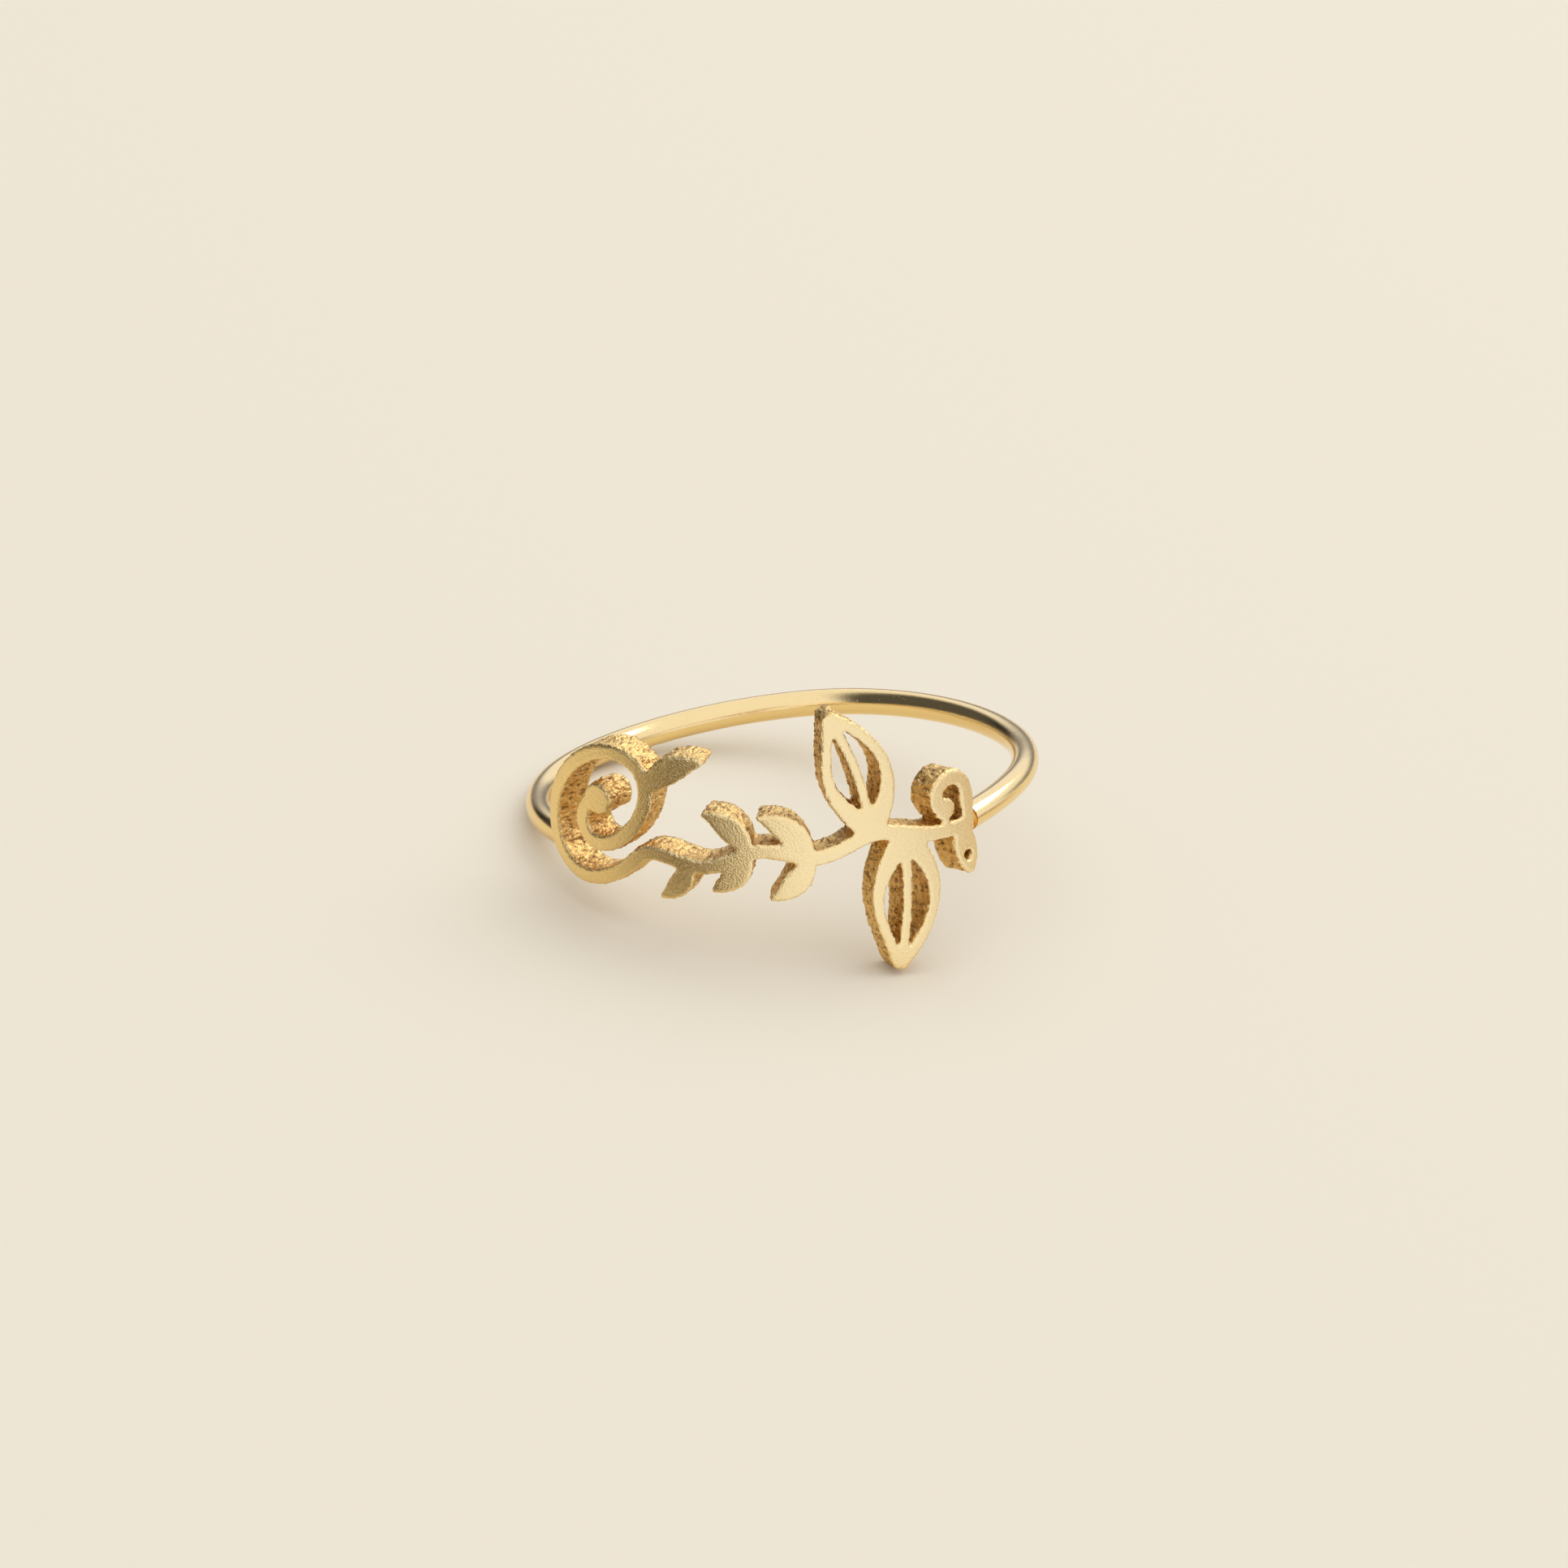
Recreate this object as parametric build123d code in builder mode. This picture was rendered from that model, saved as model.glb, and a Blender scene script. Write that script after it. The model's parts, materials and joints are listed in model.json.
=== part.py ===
"""Ring of round wire with a pierced vine-scroll front soldered to its two ends.

The ring is worked out first about its own axis, which is Z, with the middle of the front facing -Y.
A place on the front is given as along, measured round its face from the middle, and height, measured
up from the middle of the wire. The finished ring is then leaned over to the way it lies by itself.
"""

from build123d import *

import os
from math import acos, atan2, cos, degrees, hypot, pi, radians, sin, tan
from typing import NamedTuple

# Wire band, in millimetres
FINGER_BORE = 17.3
WIRE_DIAMETER = 1.0

# Curved plate that the front is cut from
FRONT_DEPTH = 1.35
FRONT_SPAN = 18.2
FRONT_RISE = 5.4
FRONT_DROP = 4.65

# Vine: a waving stem that rolls up into the large scroll at the left
STROKE = 0.56
STEM_HEIGHT = 0.38
STEM_WAVE = 0.5
STEM_BENDS = 6
SCROLL_DIAMETER = 6.1
SCROLL_HEIGHT = 2.15
SCROLL_EYE = 0.9
SCROLL_TURNS = 1.45
SCROLL_ENTRY = -72.0
SCROLL_TIGHTENING = 1.5
SCROLL_LEAN = 21.0
BERRY_DIAMETER = 1.2

# Small curl at the right
CURL_DIAMETER = 2.35
CURL_HEIGHT = 1.2
CURL_EYE = 0.8
CURL_TURNS = 0.7
CURL_LEAN = 8.0
CURL_BERRY_DIAMETER = 0.85

# Leaves in pairs on the stem, and the husk that peels off the large scroll
LEAF_LENGTH = 2.5
LEAF_WIDTH = 1.0
HUSK_LENGTH = 2.7
HUSK_WIDTH = 1.0
HUSK_LEAN = 66.0
HUSK_BOW = 0.1

# Large leaves pierced on both sides of their vein: the tall one, and the hanging one that the ring stands on
RIM = 0.46
VEIN = 0.36
TALL_LEAF_WIDTH = 2.7
TALL_LEAF_LEAN = -14.0
TALL_LEAF_BOW = -0.06
DROP_LEAF_WIDTH = 2.8
DROP_LEAF_LEAN = 8.0
DROP_LEAF_BOW = 0.05

# Bud at the right end, with a round eye
BUD_LENGTH = 1.9
BUD_WIDTH = 1.05
BUD_LEAN = 172.0
BUD_EYE = 0.4
BUD_EYE_PLACE = 0.62

# Solder beads, and the slant of the cut on the wire's right end
SOLDER_DIAMETER = 1.3
END_CUT = 38.0

# Joints, as shares of the front's half turn, and how deep the wire's ends are set, in wire diameters
SOLDER_TURN = 0.98
LEFT_END_TURN = 0.93
LEFT_END_DEPTH = 0.28
RIGHT_END_TURN = 0.952
RIGHT_END_DEPTH = 0.45

# Way that the ring leans by itself, turned from the middle of the front towards its right end
LEAN_HEADING = 71.0

BACK_RADIUS = FINGER_BORE / 2
FACE_RADIUS = BACK_RADIUS + FRONT_DEPTH
WIRE_RADIUS = WIRE_DIAMETER / 2
WIRE_RING = BACK_RADIUS + WIRE_RADIUS
HALF_SPAN = FRONT_SPAN / 2
HALF_TURN = degrees(HALF_SPAN / FACE_RADIUS)
CUT_SPARE = FRONT_DEPTH / 3
PLATE_SPARE = 1.5

# Cross-sections in a full turn of a spiral, in a leaf and in a bend of the stem
SPIRAL_SECTIONS = 11
LEAF_SECTIONS = 8
BEND_SECTIONS = 3

# Power below 1 that puts a leaf's widest place nearer its base
LEAF_SWELL = 0.85

# Distance of the wire's middle line from the axis, as a share of its mean, at equal steps round the back
BAND_SHARES = (0.963, 0.99, 1.012, 1.01, 0.992, 0.99, 1.003, 1.02, 1.0, 0.982, 0.98, 0.995, 1.0, 1.0)
BAND_LEFT_TURN = -HALF_TURN - 8
BAND_RIGHT_TURN = HALF_TURN + 14
BEND_FILL = 0.45


class Station(NamedTuple):
    """One cross-section of a wall: its place on the front, the way it runs and its width."""

    along: float
    height: float
    heading: float
    width: float


class Spiral(NamedTuple):
    """A wall that winds inwards from an entry angle.

    Its way is 1 if it enters at the left and winds as a clock's hand goes, and -1 for the mirror of
    that. Its eye is where its middle line ends, and tightening above 1 keeps the outer turn wide.
    """

    centre: tuple
    way: int
    diameter: float
    eye: float
    entry: float
    turns: float
    tightening: float
    lean: float


class Shoot(NamedTuple):
    """A leaf on the stem.

    It springs at a share of the stem from its right end. Its length and width are shares of a full
    leaf's, its lean is in degrees to the right from straight up, and its bow is a share of its length.
    """

    springs_at: float
    length: float
    lean: float
    width: float
    bow: float


class Leaf(NamedTuple):
    """A leaf between two places, with its width, and its bow and the width of its ends as shares."""

    base: tuple
    tip: tuple
    width: float
    bow: float
    base_share: float = 0.3
    tip_share: float = 0.16
    fullness: float = 1.0


SHOOTS = (
    Shoot(springs_at=0.44, length=1.0, lean=-46.0, width=1.0, bow=-0.12),
    Shoot(springs_at=0.44, length=0.86, lean=-130.0, width=0.95, bow=0.12),
    Shoot(springs_at=0.59, length=0.9, lean=-44.0, width=0.95, bow=-0.12),
    Shoot(springs_at=0.59, length=0.8, lean=-132.0, width=0.9, bow=0.12),
    Shoot(springs_at=0.74, length=0.72, lean=-134.0, width=0.85, bow=0.12),
)
TALL_LEAF_SPRINGS_AT = 0.285
DROP_LEAF_SPRINGS_AT = 0.205
BUD_SPRINGS_AT = 0.035
HUSK_SPRINGS_AT = 0.45

# Shares of a large leaf's length between which it is pierced
PIERCED_FROM = 0.2
PIERCED_TO = 0.86


def polar(turn, reach, height=0.0):
    """Place at a reach from the axis and a turn in degrees to the right of the front's middle."""
    return Vector(reach * sin(radians(turn)), -reach * cos(radians(turn)), height)


def section_plane(station):
    """Plane across a wall, with X across the wall and Y outwards from the ring's axis."""
    outward = polar(degrees(station.along / FACE_RADIUS), 1)
    sideways = Vector(-outward.Y, outward.X, 0)
    up = Vector(0, 0, 1)
    across = up * cos(station.heading) - sideways * sin(station.heading)
    forward = sideways * cos(station.heading) + up * sin(station.heading)
    return Plane(outward * FACE_RADIUS + up * station.height, x_dir=across, z_dir=forward)


def half_width(station, reach):
    """Half a wall's width at a distance from the ring's axis, because its sides point at the axis."""
    level_share = sin(station.heading) * reach / FACE_RADIUS
    return station.width / 2 * hypot(level_share, cos(station.heading))


def wall_blank(stations, spare=CUT_SPARE):
    """Wall through its stations, deeper than the front by a spare length on both sides."""
    inner = BACK_RADIUS - spare
    outer = FACE_RADIUS + spare
    with BuildPart() as blank:
        for station in stations:
            near = half_width(station, inner)
            far = half_width(station, outer)
            low = inner - FACE_RADIUS
            with BuildSketch(section_plane(station)):
                with BuildLine():
                    Polyline((-near, low), (near, low), (far, spare), (-far, spare), close=True)
                make_face()
        loft()
    return blank.part


def pin_blank(station, diameter, spare=CUT_SPARE):
    """Round pin at a station, along the way out from the axis, and deeper than the front."""
    outward = polar(degrees(station.along / FACE_RADIUS), 1)
    start = outward * (BACK_RADIUS - spare) + Vector(0, 0, station.height)
    with BuildPart() as pin:
        with BuildSketch(Plane(start, z_dir=outward)):
            Circle(diameter / 2)
        extrude(amount=FRONT_DEPTH + 2 * spare)
    return pin.part


def pierced_blank(blank, opening):
    """Blank with an opening cut right through it."""
    with BuildPart() as pierced:
        add(blank)
        add(opening, mode=Mode.SUBTRACT)
    return pierced.part


def front_wall(blank):
    """Blank cut to the depth of the curved plate."""
    with BuildPart() as wall:
        add(blank)
        add(plate.part, mode=Mode.INTERSECT)
    return wall.part


def spiral_stations(spiral):
    """Stations of a spiral from its entry to its eye, evenly spaced in angle."""
    outer = (spiral.diameter - STROKE) / 2
    shrinkage = outer - spiral.eye / 2
    sweep_angle = 2 * pi * spiral.turns
    slant = tan(radians(spiral.lean))
    count = round(SPIRAL_SECTIONS * spiral.turns)
    stations = []
    for index in range(count + 1):
        share = index / count
        angle = radians(spiral.entry) - share * sweep_angle
        reach = outer - shrinkage * share**spiral.tightening
        shrink_rate = shrinkage * spiral.tightening * share ** (spiral.tightening - 1) / sweep_angle
        upright = angle - pi / 2 - atan2(shrink_rate, reach)
        heading = atan2(sin(upright), spiral.way * cos(upright) + slant * sin(upright))
        rise = reach * sin(angle)
        along = spiral.centre[0] + spiral.way * reach * cos(angle) + slant * rise
        stations.append(Station(along, spiral.centre[1] + rise, heading, STROKE))
    return stations


def stem_line(entry):
    """Middle line of the stem, laid flat, from its right end to where it enters the scroll."""
    right_end = (HALF_SPAN - STROKE / 4, 0.0)
    bends = []
    for bend in range(1, STEM_BENDS + 1):
        side = 1 if bend % 2 == 0 else -1
        along = right_end[0] + (entry.along - right_end[0]) * bend / (STEM_BENDS + 1)
        bends.append((along, STEM_HEIGHT + side * STEM_WAVE / 2))
    into_scroll = (cos(entry.heading), sin(entry.heading))
    return Spline(right_end, *bends, (entry.along, entry.height), tangents=((-1, 0), into_scroll))


def stem_place(share):
    """Place on the stem's middle line at a share of its length."""
    point = stem @ share
    return point.X, point.Y


def stem_stations():
    """Stations of the stem, a few to each of its bends."""
    count = BEND_SECTIONS * (STEM_BENDS + 1)
    stations = []
    for index in range(count):
        direction = stem % (index / count)
        heading = atan2(direction.Y, direction.X)
        stations.append(Station(*stem_place(index / count), heading, STROKE))
    return stations


def foot_stations(curl):
    """Stations of the straight foot that carries a curl on the stem."""
    slant = cos(curl[0].heading) / sin(curl[0].heading)
    return [curl[0]._replace(along=curl[0].along - slant * curl[0].height, height=0.0), curl[0]]


def grown_leaf(base, length, lean, width, bow, **form):
    """Leaf from a base, with its length and its lean in degrees to the right from straight up."""
    tip = (base[0] + length * sin(radians(lean)), base[1] + length * cos(radians(lean)))
    return Leaf(base, tip, width, bow, **form)


def vein_station(leaf, place, width=0.0):
    """Station on a leaf's vein, which is bowed to the left of the way it grows."""
    run = (leaf.tip[0] - leaf.base[0], leaf.tip[1] - leaf.base[1])
    side = 4 * leaf.bow * place * (1 - place)
    along = leaf.base[0] + run[0] * place - run[1] * side
    height = leaf.base[1] + run[1] * place + run[0] * side
    heading = atan2(run[1], run[0]) + atan2(4 * leaf.bow * (1 - 2 * place), 1)
    return Station(along, height, heading, width)


def leaf_stations(leaf, start=0.0, end=1.0):
    """Stations of a leaf, or of the opening in one, from start to end of its vein."""
    stations = []
    for index in range(LEAF_SECTIONS + 1):
        share = (1 - cos(pi * index / LEAF_SECTIONS)) / 2
        ends = leaf.base_share + (leaf.tip_share - leaf.base_share) * share
        swell = sin(pi * share**LEAF_SWELL) ** leaf.fullness if 0 < index < LEAF_SECTIONS else 0.0
        width = leaf.width * (ends + (1 - ends) * swell)
        stations.append(vein_station(leaf, start + (end - start) * share, width))
    return stations


def veined_blanks(leaf):
    """Large leaf cut out inside its rim, and the vein that runs through the opening from end to end."""
    opening = leaf._replace(width=leaf.width - 2 * RIM, base_share=0.2, tip_share=0.2)
    hole = wall_blank(leaf_stations(opening, PIERCED_FROM, PIERCED_TO), 2 * CUT_SPARE)
    inside = RIM / 2 / hypot(leaf.tip[0] - leaf.base[0], leaf.tip[1] - leaf.base[1])
    places = (PIERCED_FROM - inside, (PIERCED_FROM + PIERCED_TO) / 2, PIERCED_TO + inside)
    vein = wall_blank([vein_station(leaf, place, VEIN) for place in places])
    return [pierced_blank(wall_blank(leaf_stations(leaf)), hole), vein]


# Curved plate
with BuildPart() as plate:
    with BuildSketch(Plane.XY.offset(-PLATE_SPARE * FRONT_DROP)):
        Circle(FACE_RADIUS)
        Circle(BACK_RADIUS, mode=Mode.SUBTRACT)
    extrude(amount=PLATE_SPARE * (FRONT_DROP + FRONT_RISE))

# Vine: stem and large scroll in one run, and the small curl that turns the other way
scroll = spiral_stations(
    Spiral(
        centre=(SCROLL_DIAMETER / 2 / cos(radians(SCROLL_LEAN)) - HALF_SPAN, SCROLL_HEIGHT),
        way=1,
        diameter=SCROLL_DIAMETER,
        eye=SCROLL_EYE,
        entry=SCROLL_ENTRY,
        turns=SCROLL_TURNS,
        tightening=SCROLL_TIGHTENING,
        lean=SCROLL_LEAN,
    )
)
stem = stem_line(scroll[0])
curl = spiral_stations(
    Spiral(
        centre=(HALF_SPAN - CURL_DIAMETER / 2 / cos(radians(CURL_LEAN)), CURL_HEIGHT),
        way=-1,
        diameter=CURL_DIAMETER,
        eye=CURL_EYE,
        entry=180.0,
        turns=CURL_TURNS,
        tightening=1.0,
        lean=CURL_LEAN,
    )
)

# Leaves on the stem, and the husk that peels off the scroll
leaves = []
for shoot in SHOOTS:
    base = stem_place(shoot.springs_at)
    length = shoot.length * LEAF_LENGTH
    leaves.append(grown_leaf(base, length, shoot.lean, shoot.width * LEAF_WIDTH, shoot.bow))
husk_base = scroll[round(HUSK_SPRINGS_AT * len(scroll))]
husk_place = (husk_base.along, husk_base.height)
leaves.append(grown_leaf(husk_place, HUSK_LENGTH, HUSK_LEAN, HUSK_WIDTH, HUSK_BOW))

# Large leaves, which reach the top and the bottom of the front, and the bud
tall_base = stem_place(TALL_LEAF_SPRINGS_AT)
tall_length = (FRONT_RISE - tall_base[1]) / cos(radians(TALL_LEAF_LEAN))
tall_leaf = grown_leaf(tall_base, tall_length, TALL_LEAF_LEAN, TALL_LEAF_WIDTH, TALL_LEAF_BOW)
drop_base = stem_place(DROP_LEAF_SPRINGS_AT)
drop_length = (FRONT_DROP + drop_base[1]) / cos(radians(DROP_LEAF_LEAN))
drop_lean = 180 + DROP_LEAF_LEAN
drop_leaf = grown_leaf(drop_base, drop_length, drop_lean, DROP_LEAF_WIDTH, DROP_LEAF_BOW)
bud = grown_leaf(stem_place(BUD_SPRINGS_AT), BUD_LENGTH, BUD_LEAN, BUD_WIDTH, 0.0, fullness=0.7)
bud_eye = pin_blank(vein_station(bud, BUD_EYE_PLACE), BUD_EYE, 2 * CUT_SPARE)

blanks = [wall_blank(stem_stations() + scroll), wall_blank(curl), wall_blank(foot_stations(curl))]
blanks += [wall_blank(leaf_stations(leaf)) for leaf in leaves]
blanks += veined_blanks(tall_leaf) + veined_blanks(drop_leaf)
blanks.append(pierced_blank(wall_blank(leaf_stations(bud)), bud_eye))
blanks += [pin_blank(scroll[-1], BERRY_DIAMETER), pin_blank(curl[-1], CURL_BERRY_DIAMETER)]
walls = [front_wall(blank) for blank in blanks]

# Middle line of the wire: behind the front at the left, against its end at the right
band_step = (BAND_RIGHT_TURN - BAND_LEFT_TURN - 360) / (len(BAND_SHARES) - 1)
band_points = [polar(-LEFT_END_TURN * HALF_TURN, BACK_RADIUS - LEFT_END_DEPTH * WIRE_DIAMETER)]
for index, share in enumerate(BAND_SHARES):
    corner_reach = share * WIRE_RING / cos(radians(band_step / 2))
    band_points.append(polar(BAND_LEFT_TURN + index * band_step, corner_reach))
right_joint = polar(RIGHT_END_TURN * HALF_TURN, FACE_RADIUS - RIGHT_END_DEPTH * WIRE_DIAMETER)
band_points.append(right_joint)
bend_radii = []
for before, corner, after in zip(band_points, band_points[1:], band_points[2:]):
    shorter = min((corner - before).length, (after - corner).length)
    half_bend = radians((corner - before).get_angle(after - corner)) / 2
    bend_radii.append(BEND_FILL * shorter / tan(half_bend))

with BuildPart() as band:
    with BuildLine() as wire_line:
        FilletPolyline(*band_points, radius=bend_radii)
    with BuildSketch(Plane(wire_line.line @ 0, z_dir=wire_line.line % 0)):
        Circle(WIRE_RADIUS)
    sweep()
    forward = wire_line.line % 1
    cut_normal = forward * sin(radians(END_CUT)) + polar(HALF_TURN, cos(radians(END_CUT)))
    end_cut = Plane(right_joint - forward * WIRE_RADIUS / 2, z_dir=cut_normal)
    split(bisect_by=end_cut, keep=Keep.BOTTOM)

solder_turn = SOLDER_TURN * HALF_TURN
with BuildPart() as solder:
    with Locations(polar(-solder_turn, BACK_RADIUS), polar(solder_turn, WIRE_RING)):
        Sphere(SOLDER_DIAMETER / 2)

# One soldered piece of metal
with BuildPart() as ring:
    add([band.part, solder.part, *walls])

# Lean until the hanging leaf and the back of the band both touch the surface
foot_turn = radians(degrees(drop_leaf.tip[0] / FACE_RADIUS) - LEAN_HEADING)
level_reach = BACK_RADIUS * cos(foot_turn) + WIRE_RING
lean = acos(WIRE_RADIUS / hypot(FRONT_DROP, level_reach)) - atan2(level_reach, FRONT_DROP)
lean_axis = Axis((0, 0, 0), polar(LEAN_HEADING + 90, -1))
lying = ring.part.rotate(lean_axis, degrees(lean))
box = lying.bounding_box()
with BuildPart() as name_ring:
    add(lying.moved(Location((-box.center().X, -box.center().Y, -box.min.Z))))
name_ring.part.label = "ring"

os.makedirs("parts", exist_ok=True)
export_step(name_ring.part, "parts/ring.step")
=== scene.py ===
"""Gold ring with a pierced vine front: its finished pieces, studio and camera, made as an add-on.

The ring has a frame of its own, with its axis up and the middle of the front at -Y, in millimetres.
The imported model's finger mount says how that frame stands in the model.
"""
import json
from math import atan2, cos, degrees, radians, sin

import bmesh
import bpy
import numpy as np
from bpy.props import FloatProperty, FloatVectorProperty, IntProperty, PointerProperty
from bpy.types import Operator, Panel, PropertyGroup
from mathutils import Matrix, Vector


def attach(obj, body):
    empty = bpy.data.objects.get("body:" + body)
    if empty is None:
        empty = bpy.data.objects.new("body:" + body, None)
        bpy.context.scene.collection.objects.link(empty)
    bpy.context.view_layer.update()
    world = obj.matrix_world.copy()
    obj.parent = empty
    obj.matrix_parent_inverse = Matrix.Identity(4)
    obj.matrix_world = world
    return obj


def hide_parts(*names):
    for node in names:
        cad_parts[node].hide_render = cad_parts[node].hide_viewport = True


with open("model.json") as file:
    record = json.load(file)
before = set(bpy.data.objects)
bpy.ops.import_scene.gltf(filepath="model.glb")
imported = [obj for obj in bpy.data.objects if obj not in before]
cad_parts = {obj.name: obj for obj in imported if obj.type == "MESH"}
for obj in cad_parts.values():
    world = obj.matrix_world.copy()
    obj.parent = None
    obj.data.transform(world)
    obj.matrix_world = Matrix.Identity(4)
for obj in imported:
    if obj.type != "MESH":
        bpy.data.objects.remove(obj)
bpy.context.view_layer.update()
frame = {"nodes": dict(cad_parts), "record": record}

bl_info = {
    "name": "Vine ring",
    "version": (1, 0, 0),
    "blender": (4, 5, 0),
    "location": "3D View > Sidebar > Ring",
    "description": "Makes a gold ring with a pierced vine front, its studio and its camera",
    "category": "Object",
}

NODE = "ring"
BODY = "root"
MM = 0.001

FINGER = frame["record"]["mounts"][0]
RING_CENTRE = Vector(FINGER["pos_m"])
RING_AXIS = Vector(FINGER["axis"]).normalized()
BACK_REACH = FINGER["dims"]["r_mm"]
RING_TURN = Vector((0, 0, 1)).rotation_difference(RING_AXIS).to_matrix().to_4x4()
FROM_RING = Matrix.Translation(RING_CENTRE) @ RING_TURN @ Matrix.Scale(MM, 4)

# Distance of the wire's middle line from the axis, as a share of its mean, at equal steps round the back
BAND_SHARES = (0.963, 0.99, 1.012, 1.01, 0.992, 0.99, 1.003, 1.02, 1.0, 0.982, 0.98, 0.995, 1.0, 1.0)

# Ends of the wire: turn as a share of the front's half turn, and how far inside the front's back at the
# left and under its face at the right, as a share of the wire's diameter
LEFT_END_TURN = 0.93
LEFT_END_DEPTH = 0.28
RIGHT_END_TURN = 0.952
RIGHT_END_DEPTH = 0.45

# Turns past the front's ends, in degrees: of the wire's first and last bend, of its stop, and of the cut
LEFT_BEND_PAST = 8
RIGHT_BEND_PAST = 14
WIRE_STOP_PAST = 0.4
CUT_PAST = 2.1

# Steps of the wire's line at each bend, and what is added to the wire's radius, in millimetres
LINE_STEPS = 24
RADIUS_GAIN = 0.006

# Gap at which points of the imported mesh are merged, in millimetres, and how its edges are rounded
MERGE_GAP = 0.002
ROUNDING = 0.5
ROUNDING_PASSES = 5

# A point belongs to the face or the back if it faces so squarely and lies so near, in millimetres
SQUARELY = 0.975
NEAR = 0.04

# Cast skin of the walls: the depth from a rim over which it grows, in millimetres, and its share at the rims
RIM_RISE = (0.02, 0.2)
FACE_RIM_SHARE = 0.35
BACK_RIM_SHARE = 0.6

# How squarely a surface faces in or out where the cast skin fades and where it ends
FACING_FALL = (0.35, 0.8)

# Where solder smooths it: distance from the wire's middle line in wires, depth below the face in millimetres
SOLDER_FALL = (0.62, 0.8)
SOLDER_DEPTH_RISE = (0.3, 0.5)

# Noise: its spread from the middle in the cast relief, and its scale in the wire's wander, per metre
NOISE_SPREAD = 2.6
WANDER_SCALE = 350.0

# Values of the noise between which each mark comes in
SPECK_RISE = (0.70, 0.80)
# Pits take painted shade and dark oxide
PIT_SHADE_AND_OXIDE_RISE = (0.50, 0.36)
# Sparks: specks on the crests that are smoother, with paler gold painted as glints
CREST_GLINT_RISE = (0.52, 0.62)
SAND_GLINT_RISE = (0.50, 0.62)

# Heights of the marks against each other, and the full height of each finish, in metres
SPECK_HEIGHT = -0.8
WRINKLE_HEIGHT = 2.9
SAND_HEIGHT = 0.3
FACE_SAND_HEIGHT = 0.5
FACE_POLISH_HEIGHT = 0.08
WIRE_BUMP = 0.0035 * MM
FRONT_BUMP = 0.05 * MM

# What the marks add to the roughness, and the brightness of the wire's darker clouds
SPECK_ROUGHNESS = 0.25
CLOUD_ROUGHNESS = 0.08
SPARK_ROUGHNESS = -0.2
CLOUD_SHADE = 0.94

# Reflections painted on the floor, which only the gold mirrors: first and last turn in degrees, near edge in
# millimetres
PAINTED_DARK_SPAN = (-46, 2, 11)
PAINTED_BRIGHT_SPAN = (-4, 76, 11)
PAINTED_DIM_SPAN = (66, 125, 28)
PAINTED_DARK_LEFT_SPAN = (-165, -34, 24)

# Soft edges of the painted reflections: at the first and last turn in degrees, and how far out the near edge
# ends
FIRST_EDGE = 14
LAST_EDGE = 12
NEAR_EDGE = 1.4

# Parts of the mirrored sky: the direction's X, Y or Z at which each starts and is full
SKY_LEFT = (-0.42, -0.68)
SKY_LOW = (0.32, 0.12)
SKY_REAR = (0.45, 0.75)
SKY_AHEAD = (-0.85, -0.97)
SKY_RIGHT = (0.90, 0.98)

# Light of the sky at the horizon, and its growth up to the top
SKY_HORIZON = 0.4
SKY_GROWTH = 0.9

# Middle of the large soft light, and half of the floor's side, in metres
KEY_PLACE = (0.26, 0.26, 0.40)
FLOOR_REACH = 1.5

# How far out the glowing card stands, as a share of the light's distance
GLEAM_SHARE = 0.98

# How far right of the ring's centre and below it the camera aims, in millimetres
AIM_RIGHT = 0.079
AIM_DOWN = 0.121


def length(name, description, default, **limits):
    """A size in millimetres, which the sidebar shows as a plain number."""
    return FloatProperty(name=name, description=description, default=default, precision=3, **limits)


def colour(name, description, default):
    """A linear colour that the sidebar shows as a swatch."""
    return FloatVectorProperty(
        name=name, description=description, default=default, subtype="COLOR", size=3, min=0, max=1
    )


class RingSizes(PropertyGroup):
    """Sizes of the ring's finished pieces, in millimetres."""

    wire: length("Wire", "Diameter of the band's wire, mm", 1.0, min=0.2)
    depth: length("Depth", "Depth of the front from its face to its back, mm", 1.35, min=0.2)
    half_turn: FloatProperty(
        name="Half turn",
        description="Turn from the middle of the front to its end",
        default=radians(52.14),
        subtype="ANGLE",
    )
    mesh_step: length("Mesh step", "Size of the front's mesh faces, mm", 0.064, min=0.03)
    ridge_depth: length("Ridge depth", "Height of the cast ridges on the side walls, mm", 0.11)
    ridge_width: length("Ridge width", "Distance from one cast ridge to the next, mm", 0.2, min=0.02)
    ridge_length: length("Ridge length", "Length of a cast ridge along the depth, mm", 0.32, min=0.02)
    grain_depth: length("Grain depth", "Height of the cast grain, mm", 0.04)
    grain_size: length("Grain size", "Size of the cast grain, mm", 0.11, min=0.01)
    sides: IntProperty(name="Sides", description="Sides of the band's wire", default=40, min=8)
    wander: length("Wander", "How far the drawn wire wanders from true, mm", 0.012)
    seed: IntProperty(name="Seed", description="Seed of the cast relief", default=7)


class RingColours(PropertyGroup):
    """Colours of the gold."""

    face: colour("Face", "Polished gold of the face and the wire", (0.95, 0.70, 0.30))
    # Wall: darker, more orange gold that paints the shade of light bouncing between the walls
    wall: colour("Wall", "Gold of the cast side walls", (0.93, 0.61, 0.20))
    # Pit: painted shade of the pits together with their dark oxide
    pit_shade_and_oxide_colour: colour("Pit", "Dark gold in the pits of the cast walls", (0.42, 0.24, 0.08))
    wire_roughness: FloatProperty(
        name="Wire roughness", description="Roughness of the polished wire", default=0.11, min=0, max=1
    )
    face_roughness: FloatProperty(
        name="Face roughness", description="Roughness of the polished face", default=0.23, min=0, max=1
    )
    wall_roughness: FloatProperty(
        name="Wall roughness", description="Roughness of the cast gold", default=0.34, min=0, max=1
    )


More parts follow.
